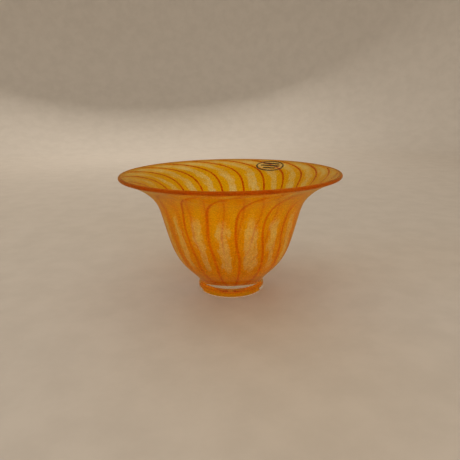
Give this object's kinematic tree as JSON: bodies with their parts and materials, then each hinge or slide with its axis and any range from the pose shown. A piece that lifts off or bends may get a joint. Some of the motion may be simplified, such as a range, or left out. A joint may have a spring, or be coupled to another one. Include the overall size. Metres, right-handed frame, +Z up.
{
  "type": "art glass bowl",
  "caption": "Blown glass bowl with a wide flared rim, an amber lining, leaning orange threads and a low clear foot.",
  "frame": {"origin": "centre of the face that the bowl rests on, on the bowl's axis", "axes": "+Z up along the bowl's axis; the label is inside the rim at 61 degrees from +X towards +Y, and -Y is the front"},
  "size_m": [0.1882, 0.1882, 0.105],
  "materials": {
    "clear_glass": "fire-polished clear glass",
    "amber_glass": "mottled amber glass with fine crackle and seed bubbles",
    "orange_glass": "dense orange glass cane",
    "label_film": "thin see-through film",
    "label_ink": "dark olive printed ink"
  },
  "bodies": {
    "root": {"foot_disc": "clear_glass", "clear_casing": "clear_glass", "amber_layer": "amber_glass", "thread_01": "orange_glass", "thread_02": "orange_glass", "thread_03": "orange_glass", "thread_04": "orange_glass", "thread_05": "orange_glass", "thread_06": "orange_glass", "thread_07": "orange_glass", "thread_08": "orange_glass", "thread_09": "orange_glass", "thread_10": "orange_glass", "thread_11": "orange_glass", "thread_12": "orange_glass", "thread_13": "orange_glass", "thread_14": "orange_glass", "thread_15": "orange_glass", "thread_16": "orange_glass", "thread_17": "orange_glass", "thread_18": "orange_glass", "label_film": "label_film", "label_print": "label_ink"}
  },
  "joints": []
}
